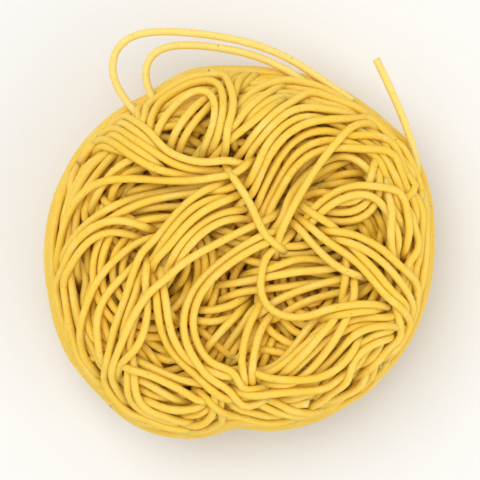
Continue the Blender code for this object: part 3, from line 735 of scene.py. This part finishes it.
def settle(strands, diameter, rounds, passes):
    """Push strands apart where they run through each other; a strand bends, but only gently."""
    kinds = [kind for kind, _ in strands]
    lines = [even_line(line, SETTLE_STEP) for _, line in strands]
    owner = np.concatenate([np.full(len(line), index) for index, line in enumerate(lines)])
    order = np.concatenate([np.arange(len(line)) for line in lines])
    places = np.vstack(lines)
    same = owner[1:] == owner[:-1]
    middle = np.flatnonzero(same[1:] & same[:-1]) + 1
    is_loose = np.array([kind == "loose" for kind in kinds])[owner]
    is_crown = np.array([kind == "crown" for kind in kinds])[owner]
    stay = np.where(is_loose, LOOSE_GIVE, 1.0)[:, None]
    held = (~is_loose).astype(float)
    tie = np.where(is_crown, CROWN_TIE, 0.0)[:, None]
    home = places[:, :2].copy()
    for _ in range(rounds):
        a, b = close_pairs(places, owner, order, diameter * NEAR)
        for _ in range(passes):
            total = spread_along(push_apart(places, a, b, diameter), same, PUSH_SPREAD)
            places += total * PUSH * stay
            share = np.hypot(places[:, 0], places[:, 1]) / outline(np.arctan2(places[:, 1], places[:, 0]))
            over = np.clip(places[:, 2] - np.interp(share, *LID), 0, 3) * LID_PRESS
            places[:, 2] -= spread_along(over, same, 3)
            reach = flank_share(np.minimum(places[:, 2], WALL_SHOULDER)) + FLANK_SLACK
            squeeze = 1 - FLANK_PRESS * np.clip(share - reach, 0, 0.1) * held
            places[:, :2] *= squeeze[:, None]
            places[:, :2] += (home - places[:, :2]) * tie
            places[:, 2] = np.maximum(places[:, 2], diameter / 2)
            bend = np.zeros_like(places)
            bend[middle] = (places[middle - 1] + places[middle + 1]) / 2 - places[middle]
            places += bend * STIFFNESS
    cuts = np.cumsum([len(line) for line in lines])[:-1]
    return list(zip(kinds, np.split(places, cuts)))


def sink_ends(strands, diameter):
    """Lead the ends of the strands inside the wall down between their neighbours."""
    for kind, line in strands:
        if kind in ("crown", "inner"):
            tail = np.minimum(np.arange(len(line)), np.arange(len(line))[::-1]) * SETTLE_STEP
            sunk = line[:, 2] - END_SINK * np.clip(1 - tail / END_LENGTH, 0, 1) ** TAIL_CURVE
            line[:, 2] = np.maximum(sunk, diameter / 2)


def close_joints(strands, diameter):
    """The strands, with the windings' ends drawn out until each nearly meets the next one's."""
    made = []
    for kind, line in strands:
        if kind == "outer":
            longer = JOINT_REACH * diameter
            first = line[0] - line[1]
            last = line[-1] - line[-2]
            start = line[0] + first / np.linalg.norm(first) * longer
            stop = line[-1] + last / np.linalg.norm(last) * longer
            line = np.vstack([start, line, stop])
        made.append((kind, line))
    return made


def pit_strand(spot, places, diameter, rng):
    """A short strand down in a pit, in the direction and at the depth that leaves it the most room."""
    near = places[np.hypot(places[:, 0] - spot[0], places[:, 1] - spot[1]) < 9.0]
    best = None
    for _ in range(PIT_TRIES):
        route = bridge_route(spot, *PIT_BRIDGE, rng)
        depth = rng.uniform(*PIT_STRAND_DEPTHS)
        line = np.column_stack([route, crown_height(route[:, 0], route[:, 1]) - depth])
        away = np.linalg.norm(line[:, None] - near[None], axis=2).min(axis=1)
        crowded = np.mean(np.clip(diameter - away, 0, None))
        score = crowded + DEPTH_PRICE * depth
        if best is None or score < best[0]:
            best = (score, line)
    return best[1]


def fill_pits(strands, diameter, rng):
    """Add short strands across the narrow pits of the crown, until none is left that is too deep."""
    surface = Heap(diameter / 2)
    surface.low[:] = 0
    for kind, strand in strands:
        surface.add(strand, kind)
    share = np.hypot(surface.x, surface.y) / outline(np.arctan2(surface.y, surface.x))
    done = share > FILL_REACH
    added = []
    while len(added) < MOST_PIT_STRANDS:
        room = crown_height(surface.x, surface.y) - surface.low
        room = np.where(done, 0, blur(np.clip(room, 0, 8), 1))
        if room.max() < PIT_DEPTH:
            break
        i, j = np.unravel_index(room.argmax(), room.shape)
        spot = (surface.x[i, j], surface.y[i, j])
        strand = pit_strand(spot, np.vstack([line for _, line in strands + added]), diameter, rng)
        surface.add(strand, "inner")
        added.append(("inner", strand))
        done |= np.hypot(surface.x - spot[0], surface.y - spot[1]) < PIT_CLOSED
    return strands + added


def blur(values, reach):
    """The values, averaged over a square of cells three times."""
    width = 2 * reach + 1
    for axis in (0, 1) * 3:
        margins = [(0, 0), (0, 0)]
        margins[axis] = (reach + 1, reach)
        total = np.moveaxis(np.cumsum(np.pad(values, margins), axis), axis, 0)
        values = np.moveaxis((total[width:] - total[:-width]) / width, 0, axis)
    return values


def layers(heap, routes):
    """How many crown strands lie over each place."""
    total = np.zeros_like(heap.x)
    span = np.arange(-2, 3)
    for route, _ in routes:
        over = np.zeros(heap.x.shape, bool)
        place = heap.cells(even_line(route, 0.4))
        i, j = np.broadcast_arrays(place[:, 0, None, None] + span[None, :, None],
                                   place[:, 1, None, None] + span[None, None, :])
        over[i, j] = True
        total += over
    return total


# The strands, once they are laid, for the operators that share them
LAID = {}


def wound_nest(sizes):
    """All strands of the nest as lines in millimetres, worked out once."""
    if "strands" in LAID:
        return LAID["strands"]
    rng = random.Random(sizes.seed)
    diameter = sizes.strand / MM
    heap = Heap(diameter)
    for strand in wall_strands(diameter, sizes.wall_pitch / MM, sizes.wall_layers, rng):
        heap.add(strand, "outer")
    routes = crown_routes(rng)
    sink = BARE_SINK + LAYER_SINK * diameter * blur(layers(heap, routes), 3)
    fill_body(heap, sizes.filling, sink, rng)
    for route, dive in routes:
        heap.add(np.column_stack([route, heap.rest(route, STIFF_CROWN) - dive]), "crown")
    for points in LOOSE:
        heap.add(smooth_line(points, ROUTE_STEP), "loose")
    strands = settle(heap.strands, diameter, rounds=9, passes=8)
    for _ in range(2):
        strands = fill_pits(strands, diameter, rng)
        strands = settle(strands, diameter, rounds=2, passes=8)
    sink_ends(strands, diameter)
    LAID["strands"] = close_joints(strands, diameter)
    return LAID["strands"]


# Cut ends of a strand: how slanting they are, and how far their paler colour reaches
CUT_SLANT = 0.35
CUT_LENGTH = 0.5


def tube_mesh(name, strands, radius, sides, ring, lightness, rng):
    """All strands of one kind as one mesh of capped tubes, with their tone, place along and unrolled map."""
    corners = []
    tones = []
    runs = []
    ends = []
    quads = []
    caps = []
    travel = []
    base = 0
    far = 0.0
    turn = np.arange(sides) * 2 * np.pi / sides
    for line in strands:
        line = even_line(line, ring)
        count = len(line)
        along = np.gradient(line, axis=0)
        along /= np.linalg.norm(along, axis=1)[:, None]
        side = np.cross(along, (0.0, 0.0, 1.0))
        side /= np.linalg.norm(side, axis=1)[:, None] + 1e-9
        up = np.cross(side, along)
        size = radius * (1 + waver(count, ring, 9, 0.012, rng))
        twist = turn[None, :] + rng.uniform(0, 2 * math.pi)
        places = line[:, None] + size[:, None, None] * (
            np.cos(twist)[..., None] * side[:, None] + np.sin(twist)[..., None] * up[:, None])
        for end in (0, -1):
            slant = rng.uniform(-CUT_SLANT, CUT_SLANT)
            places[end] += along[end] * (slant * radius * np.cos(turn + rng.uniform(0, 6)))[:, None]
        corners.append(places.reshape(-1, 3))
        run = np.arange(count) * ring
        # A random tone, shifted by the lightness: below zero marks the inner loops for painted bounce light,
        # above one makes the loose strands paler
        tones.append(np.full(count * sides, rng.random() + lightness))
        runs.append(np.repeat(run + rng.uniform(0, 500), sides))
        near_end = np.minimum(run, run[-1] - run)
        ends.append(np.repeat(np.clip(1 - near_end / CUT_LENGTH, 0, 1), sides))
        step = np.arange(count - 1)[:, None] * sides
        one = np.arange(sides)[None, :]
        two = (one + 1) % sides
        quads.append(base + np.stack(
            [step + one, step + sides + one, step + sides + two, step + two], axis=-1).reshape(-1, 4))
        caps.append(base + np.arange(sides))
        caps.append(base + (count - 1) * sides + np.arange(sides)[::-1])
        low = far + run[:-1]
        travel.append(np.stack(
            [np.repeat(low, sides), np.repeat(low + ring, sides), np.tile(np.arange(sides), count - 1)],
            axis=-1))
        base += count * sides
        far += run[-1] + 4 * radius
    quads = np.vstack(quads)
    caps = np.array(caps)
    mesh = bpy.data.meshes.new(name)
    corners = np.vstack(corners) * MM
    mesh.vertices.add(len(corners))
    mesh.vertices.foreach_set("co", corners.ravel())
    loops = np.concatenate([quads.ravel(), caps.ravel()])
    mesh.loops.add(len(loops))
    mesh.loops.foreach_set("vertex_index", loops)
    mesh.polygons.add(len(quads) + len(caps))
    starts = np.concatenate([
        np.arange(len(quads)) * 4, len(quads) * 4 + np.arange(len(caps)) * sides])
    mesh.polygons.foreach_set("loop_start", starts)
    mesh.update(calc_edges=True)
    smooth = np.concatenate([np.ones(len(quads), bool), np.zeros(len(caps), bool)])
    mesh.polygons.foreach_set("use_smooth", smooth)
    for label, values in (("tone", tones), ("run", runs), ("cut", ends)):
        layer = mesh.attributes.new(label, "FLOAT", "POINT")
        layer.data.foreach_set("value", np.concatenate(values))
    unroll(mesh, np.vstack(travel), len(caps), far, 2 * math.pi * radius, sides)
    mesh.validate()
    return mesh


# Map of the strands' skins: slack in a row's length, and the shares of a row's width that its lower
# margin, a skin and an end's disc take
ROW_SLACK = 1.001
ROW_MARGIN = 0.05
SKIN_WIDTH = 0.9
DISC_RADIUS = 0.2


def unroll(mesh, travel, cap_count, length, girth, sides):
    """Lay the strands' skins side by side in rows on a square map."""
    rows = max(1, math.ceil(math.sqrt(length / girth)))
    margin = girth / 4
    row_length = length / rows * ROW_SLACK + girth
    row = np.floor((travel[:, 0] + travel[:, 1]) / 2 / (length / rows * ROW_SLACK))
    before = row * length / rows * ROW_SLACK
    start = (travel[:, 0] - before + margin) / row_length
    stop = (travel[:, 1] - before + margin) / row_length
    low = (row + ROW_MARGIN + SKIN_WIDTH * travel[:, 2] / sides) / rows
    high = (row + ROW_MARGIN + SKIN_WIDTH * (travel[:, 2] + 1) / sides) / rows
    quads = np.stack([
        np.stack([start, low], -1), np.stack([stop, low], -1),
        np.stack([stop, high], -1), np.stack([start, high], -1)], axis=1)
    turn = np.arange(sides) * 2 * np.pi / sides
    disc = np.stack([np.cos(turn), np.sin(turn)], -1) * DISC_RADIUS / rows
    middle = 1 - 0.25 / rows
    caps = np.broadcast_to(disc + middle, (cap_count, sides, 2))
    flat = np.concatenate([quads.reshape(-1, 2), caps.reshape(-1, 2)])
    layer = mesh.uv_layers.new(name="OFBake")
    layer.data.foreach_set("uv", np.clip(flat, 0, 1).ravel())


class Wire:
    """A socket that carries a number, for sums written as they are read."""

    def __init__(self, finish, socket):
        self.finish = finish
        self.socket = socket

    def sum(self, operation, first, second):
        """A Math node's result."""
        node = self.finish.node("ShaderNodeMath", {"operation": operation}, {0: first, 1: second})
        return Wire(self.finish, node.outputs[0])

    def __add__(self, other):
        return self.sum("ADD", self, other)

    def __radd__(self, other):
        return self.sum("ADD", other, self)

    def __mul__(self, other):
        return self.sum("MULTIPLY", self, other)

    def __rmul__(self, other):
        return self.sum("MULTIPLY", other, self)


class Finish:
    """One material and the ways to add nodes to it."""

    def __init__(self, name):
        self.material = bpy.data.materials.new(name)
        self.material.use_nodes = True
        self.tree = self.material.node_tree
        self.shader = self.tree.nodes["Principled BSDF"]

    def node(self, kind, settings=None, inputs=None):
        """A node of a type, its settings made first, then its sockets filled or linked."""
        made = self.tree.nodes.new(kind)
        for key, value in (settings or {}).items():
            setattr(made, key, value)
        for key, value in (inputs or {}).items():
            self.join(value, made.inputs[key])
        return made

    def join(self, value, socket):
        """Link a socket or a wire, or set a plain value."""
        if isinstance(value, Wire):
            value = value.socket
        if isinstance(value, bpy.types.NodeSocket):
            self.tree.links.new(value, socket)
        else:
            socket.default_value = value

    def number(self, name):
        """A number that the mesh carries."""
        made = self.node("ShaderNodeAttribute", {"attribute_name": name})
        return Wire(self, made.outputs["Fac"])

    def noise(self, where, scale, detail, rough):
        """A cloudy number."""
        made = self.node(
            "ShaderNodeTexNoise", {},
            {"Vector": where, "Scale": scale, "Detail": detail, "Roughness": rough})
        return Wire(self, made.outputs["Fac"])

    def between(self, share, low, high):
        """A colour between two others."""
        made = self.node("ShaderNodeMix", {"data_type": "RGBA"}, {0: share, 6: low, 7: high})
        return made.outputs[2]

    def remap(self, value, low, high, to_low=0.0, to_high=1.0):
        """A number carried from one range to another, and kept within it."""
        made = self.node(
            "ShaderNodeMapRange", {"clamp": True},
            {"Value": value, "From Min": low, "From Max": high, "To Min": to_low, "To Max": to_high})
        return Wire(self, made.outputs["Result"])

    def set(self, name, value):
        """Fill or link one of the shader's sockets."""
        self.join(value, self.shader.inputs[name])


def colour_setting(name, description, *default):
    """A setting that holds a colour."""
    return bpy.props.FloatVectorProperty(
        name=name, description=description, subtype="COLOR", size=4, default=(*default, 1.0), min=0, max=1)


class PastaColours(bpy.types.PropertyGroup):
    """Colours and surface of the dried pasta."""

    pale: colour_setting("Pale", "The lightest strands", 0.86, 0.585, 0.085)
    deep: colour_setting("Deep", "The deepest coloured strands", 0.84, 0.545, 0.048)
    # Painted bounce light: the strands deep in the nest get this warmer, lighter colour in place of the warm
    # light that bounces about in its hollows
    inside: colour_setting("Inside", "Strands in the depth of the nest", 0.91, 0.585, 0.055)
    flour: colour_setting("Flour", "Dusty highlights and cut ends", 0.90, 0.76, 0.30)
    speck: colour_setting("Speck", "Fine specks of bran", 0.42, 0.20, 0.04)
    roughness: bpy.props.FloatProperty(
        name="Roughness", description="Roughness of a strand", default=0.5, min=0, max=1, subtype="FACTOR")


# Scales of the clouds, the grain, the flour and the specks on the pasta
CLOUDS = 90.0
GRAIN = 1500.0
DUST = 420.0
SPECKS = 2600.0


def pasta_finish(colours):
    """Dried pasta: satin, slightly translucent, each strand of its own tone, with fine specks, and painted
    bounce light on the inner loops.
    """
    done = bpy.data.materials.get("Dried pasta")
    if done:
        return done
    finish = Finish("Dried pasta")
    where = finish.node("ShaderNodeTexCoord").outputs["Object"]
    tone = finish.number("tone")
    cut = finish.number("cut")
    cloud = finish.noise(where, CLOUDS, 3.0, 0.6)
    grain = finish.noise(where, GRAIN, 3.0, 0.6)
    share = finish.remap(tone * 0.55 + cloud * 0.75, 0.3, 0.95)
    colour = finish.between(share, colours.deep[:], colours.pale[:])
    # Loose strands, whose tone is shifted above one, are made paler: 40% of the way towards the flour colour
    colour = finish.between(finish.remap(tone, 1.0, 2.0) * 0.4, colour, colours.flour[:])
    # Painted bounce light: strands whose tone is shifted below zero, the inner loops, take the inside colour
    # in full
    colour = finish.between(finish.remap(tone * -1.0, 0.0, 1.0), colour, colours.inside[:])
    dust = finish.remap(finish.noise(where, DUST, 4.0, 0.65), 0.52, 0.75) * 0.35
    colour = finish.between(dust + cut * 0.5, colour, colours.flour[:])
    speck = finish.remap(finish.noise(where, SPECKS, 1.0, 0.4), 0.70, 0.76) * 0.6
    colour = finish.between(speck, colour, colours.speck[:])
    finish.set("Base Color", colour)
    smoother = colours.roughness - 0.08
    rougher = colours.roughness + 0.12
    finish.set("Roughness", finish.remap(grain, 0.3, 0.7, smoother, rougher))
    finish.set("IOR", 1.45)
    finish.set("Subsurface Weight", 0.35)
    finish.set("Subsurface Radius", (1.0, 0.7, 0.2))
    finish.set("Subsurface Scale", 0.001)
    bump = finish.node(
        "ShaderNodeBump", {}, {"Strength": 0.25, "Distance": 0.00006, "Height": grain})
    finish.set("Normal", bump.outputs["Normal"])
    return finish.material


# Stage, in metres: the table's width, where the lights stand and how wide they are, what they aim at,
# and where the camera hangs; and the width of its sensor, in millimetres
TABLE = 6.0
KEY_PLACE = (-0.17, 0.15, 0.58)
KEY_SIZE = 0.45
FILL_PLACE = (0.45, -0.3, 0.35)
FILL_SIZE = 0.6
AIM = (0, 0, 0.01)
EYE = (0.0005, 0.0015)
SENSOR = 36.0


class StageSettings(bpy.types.PropertyGroup):
    """Table, light and camera."""

    table: colour_setting("Table", "Colour of the table", 0.80, 0.79, 0.77)
    key: bpy.props.FloatProperty(
        name="Key", description="Power of the key light", default=1.8, min=0, unit="POWER")
    fill: bpy.props.FloatProperty(
        name="Fill", description="Power of the fill light", default=1.2, min=0, unit="POWER")
    sky: bpy.props.FloatProperty(
        name="Sky", description="Strength of the room light", default=0.74, min=0)
    lens: bpy.props.FloatProperty(
        name="Lens", description="Focal length", default=200.0, min=10, unit="CAMERA")
    height: bpy.props.FloatProperty(
        name="Height", description="Camera above the table", default=0.425, unit="LENGTH")


class PieceMaker:
    """What the operators for the strands share."""

    # Kinds of strands in the piece, its name, and what marks its strands' tones for the pasta's finish:
    # below zero for the painted bounce light of the inner loops, above one for the loose strands' paler
    # colour
    kinds = ()
    piece = ""
    lightness = 0.0

    def execute(self, context):
        sizes = context.scene.nest_sizes
        strands = [line for kind, line in wound_nest(sizes) if kind in self.kinds]
        if not strands:
            raise RuntimeError("no strands for " + self.piece)
        mesh = tube_mesh(
            self.piece, strands, sizes.strand / MM / 2, sizes.sides, sizes.ring / MM, self.lightness,
            random.Random(self.piece))
        made = bpy.data.objects.new(self.piece, mesh)
        context.scene.collection.objects.link(made)
        mesh.materials.append(pasta_finish(context.scene.pasta_colours))
        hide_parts(NODE)
        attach(made, BODY)
        return {"FINISHED"}


class NEST_OT_outer(PieceMaker, bpy.types.Operator):
    """Add the windings round the flank"""

    bl_idname = "nest.outer"
    bl_label = "Outer windings"
    kinds = ("outer",)
    piece = "outer_windings"


class NEST_OT_inner(PieceMaker, bpy.types.Operator):
    """Add the loops that fill the body"""

    bl_idname = "nest.inner"
    bl_label = "Inner loops"
    kinds = ("inner",)
    piece = "inner_loops"
    # Shifts the tones below zero, so that the finish paints the inner loops in the inside colour as painted
    # bounce light
    lightness = -2.0


class NEST_OT_crown(PieceMaker, bpy.types.Operator):
    """Add the strands that cross over the crown"""

    bl_idname = "nest.crown"
    bl_label = "Crown strands"
    kinds = ("crown",)
    piece = "crown_strands"


class NEST_OT_loose(PieceMaker, bpy.types.Operator):
    """Add the free loop and the stray strand"""

    bl_idname = "nest.loose"
    bl_label = "Loose strands"
    kinds = ("loose",)
    piece = "loose_strands"
    # Shifts the tones above one, so that the finish makes the loose strands paler, partly towards the flour
    # colour
    lightness = 2.0


class NEST_OT_stage(bpy.types.Operator):
    """Add the table, the lights and the camera"""

    bl_idname = "nest.stage"
    bl_label = "Table, light and camera"

    def execute(self, context):
        stage = context.scene.nest_stage
        table = bpy.data.meshes.new("table")
        half = TABLE / 2
        corners = [(-half, -half, 0), (half, -half, 0), (half, half, 0), (-half, half, 0)]
        table.from_pydata(corners, [], [(0, 1, 2, 3)])
        floor = bpy.data.objects.new("table", table)
        context.scene.collection.objects.link(floor)
        finish = Finish("Table top")
        finish.set("Base Color", stage.table[:])
        finish.set("Roughness", 0.6)
        table.materials.append(finish.material)
        add_light(context, "key", KEY_PLACE, KEY_SIZE, stage.key)
        add_light(context, "fill", FILL_PLACE, FILL_SIZE, stage.fill)
        world = bpy.data.worlds.new("room")
        world.use_nodes = True
        sky = world.node_tree.nodes["Background"]
        sky.inputs["Color"].default_value = (1.0, 1.0, 1.0, 1.0)
        sky.inputs["Strength"].default_value = stage.sky
        context.scene.world = world
        camera = bpy.data.cameras.new("camera")
        camera.lens = stage.lens
        camera.sensor_width = SENSOR
        eye = bpy.data.objects.new("camera", camera)
        eye.location = (*EYE, stage.height)
        context.scene.collection.objects.link(eye)
        context.scene.camera = eye
        context.scene.view_settings.view_transform = "Standard"
        return {"FINISHED"}


def add_light(context, name, place, size, power):
    """A square soft light aimed at the nest."""
    lamp = bpy.data.lights.new(name, "AREA")
    lamp.shape = "SQUARE"
    lamp.size = size
    lamp.energy = power
    made = bpy.data.objects.new(name, lamp)
    made.location = place
    towards = Vector(AIM) - Vector(place)
    made.rotation_euler = towards.to_track_quat("-Z", "Y").to_euler()
    context.scene.collection.objects.link(made)


class NEST_PT_panel(bpy.types.Panel):
    """The nest's steps, in the order in which they run"""

    bl_label = "Nest of vermicelli"
    bl_idname = "NEST_PT_panel"
    bl_space_type = "VIEW_3D"
    bl_region_type = "UI"
    bl_category = "Nest"

    def draw(self, context):
        for step in STEPS:
            self.layout.operator(step.bl_idname)


STEPS = (NEST_OT_outer, NEST_OT_inner, NEST_OT_crown, NEST_OT_loose, NEST_OT_stage)
GROUPS = {"nest_sizes": NestSizes, "pasta_colours": PastaColours, "nest_stage": StageSettings}


def register():
    """Make the settings, the steps and the panel known to Blender."""
    for group in GROUPS.values():
        bpy.utils.register_class(group)
    for name, group in GROUPS.items():
        setattr(bpy.types.Scene, name, bpy.props.PointerProperty(type=group))
    for step in STEPS:
        bpy.utils.register_class(step)
    bpy.utils.register_class(NEST_PT_panel)


def unregister():
    """Take them away again."""
    bpy.utils.unregister_class(NEST_PT_panel)
    for step in reversed(STEPS):
        bpy.utils.unregister_class(step)
    for name in GROUPS:
        delattr(bpy.types.Scene, name)
    for group in GROUPS.values():
        bpy.utils.unregister_class(group)


def main():
    """Build the nest and its stage."""
    register()
    bpy.ops.nest.outer()
    bpy.ops.nest.inner()
    bpy.ops.nest.crown()
    bpy.ops.nest.loose()
    bpy.ops.nest.stage()


if __name__ == "__main__":
    main()
